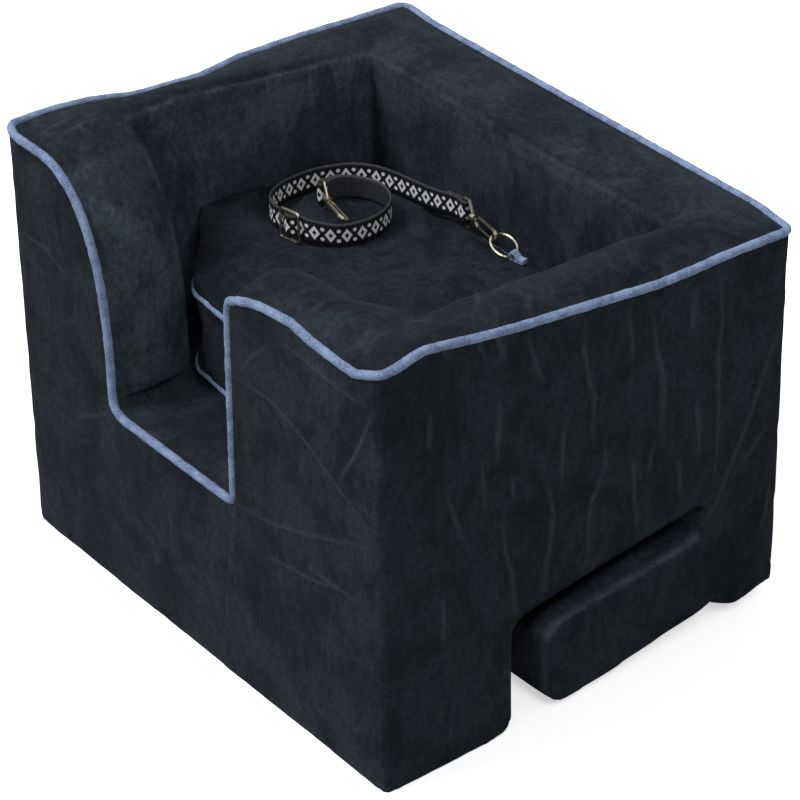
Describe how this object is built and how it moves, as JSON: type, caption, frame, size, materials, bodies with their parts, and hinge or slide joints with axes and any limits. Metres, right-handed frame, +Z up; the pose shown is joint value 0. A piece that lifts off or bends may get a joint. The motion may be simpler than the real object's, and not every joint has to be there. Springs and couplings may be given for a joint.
{
  "type": "dog car seat",
  "caption": "Foam dog booster seat with a sewn suede cover, walk-in front, seat belt channel, loose piped cushion, and a clip-on lead with swivel hooks.",
  "frame": {"origin": "on the floor, under the middle of the seat as seen from above", "axes": "+Z up; the walk-in opening faces -Y; +X is to the right seen from the front, along the belt channel"},
  "size_m": [0.456, 0.383, 0.356],
  "materials": {
    "suede": "matt brushed microsuede, charcoal",
    "piping": "matt denim blue piping cloth",
    "foam": "open-cell upholstery foam, inside the cover",
    "webbing": "woven black polyester webbing",
    "nickel": "nickel plate, slightly warm",
    "zip": "matt black nylon"
  },
  "bodies": {
    "seat": {"front_cover": "suede", "right_side_cover": "suede", "back_cover": "suede", "left_side_cover": "suede", "left_rim_cover": "suede", "right_rim_cover": "suede", "back_rim_cover": "suede", "left_post_cover": "suede", "right_post_cover": "suede", "left_post_lining": "suede", "right_post_lining": "suede", "sill_cover": "suede", "deck_cover": "suede", "leg_lining": "suede", "tongue_cover": "suede", "front_sole": "suede", "rear_sole": "suede", "rim_piping": "piping", "deck_foam": "foam", "front_leg_foam": "foam", "rear_riser_foam": "foam", "tongue_foam": "foam", "left_wall_foam": "foam", "right_wall_foam": "foam", "back_wall_foam": "foam", "left_post_foam": "foam", "right_post_foam": "foam", "zip_tape": "zip", "zip_chain": "zip"},
    "cushion": {"cushion_foam": "foam", "cushion_top": "suede", "cushion_boxing": "suede", "cushion_bottom": "suede", "cushion_top_piping": "piping", "cushion_bottom_piping": "piping", "lead_webbing": "webbing", "lead_adjuster": "nickel", "ring_tab": "webbing"},
    "zip_slider": {"zip_slider": "nickel"},
    "zip_pull": {"zip_pull": "nickel"},
    "outer_eye": {"outer_eye": "nickel"},
    "outer_hook": {"outer_hook": "nickel"},
    "outer_gate": {"outer_gate": "nickel"},
    "ring": {"ring": "nickel"},
    "inner_eye": {"inner_eye": "nickel"},
    "inner_hook": {"inner_hook": "nickel"},
    "inner_gate": {"inner_gate": "nickel"}
  },
  "joints": [
    {"name": "cushion_lift", "type": "slide", "parent": "seat", "child": "cushion", "axis": [0, 0, 1], "range_m": [0, 0.2]},
    {"name": "zip_run", "type": "slide", "parent": "seat", "child": "zip_slider", "axis": [-1, 0, 0], "range_m": [0, 0.34]},
    {"name": "zip_pull_flip", "type": "hinge", "parent": "zip_slider", "child": "zip_pull", "pos_m": [0.166, 0.18755, 0.03], "axis": [0, 0, 1], "range_deg": [0, 160]},
    {"name": "outer_eye_turn", "type": "hinge", "parent": "cushion", "child": "outer_eye", "pos_m": [-0.0296, 0.094, 0.26731], "axis": [0, 0, 1], "range_deg": [-2, 2]},
    {"name": "outer_hook_swivel", "type": "hinge", "parent": "outer_eye", "child": "outer_hook", "pos_m": [-0.01876, 0.09212, 0.26731], "axis": [0.9853, -0.1709, 0], "range_deg": [-4, 4]},
    {"name": "outer_gate_press", "type": "hinge", "parent": "outer_hook", "child": "outer_gate", "pos_m": [-0.0097, 0.09055, 0.26271], "axis": [-0.1709, -0.9853, 0], "range_deg": [0, 12], "stiffness_Nm_per_rad": 0.02},
    {"name": "ring_tilt", "type": "hinge", "parent": "cushion", "child": "ring", "pos_m": [0.0313, 0.09148, 0.25665], "axis": [-0.2402, 0.9707, 0], "range_deg": [-2, 2]},
    {"name": "inner_eye_turn", "type": "hinge", "parent": "cushion", "child": "inner_eye", "pos_m": [-0.1183, 0.0217, 0.27073], "axis": [0, 0, 1], "range_deg": [-30, 30]},
    {"name": "inner_hook_swivel", "type": "hinge", "parent": "inner_eye", "child": "inner_hook", "pos_m": [-0.10762, 0.01906, 0.27073], "axis": [0.9707, -0.2402, 0], "continuous": true},
    {"name": "inner_gate_press", "type": "hinge", "parent": "inner_hook", "child": "inner_gate", "pos_m": [-0.09783, 0.02035, 0.26787], "axis": [-0.1493, -0.6034, -0.7833], "range_deg": [0, 14], "stiffness_Nm_per_rad": 0.02}
  ]
}
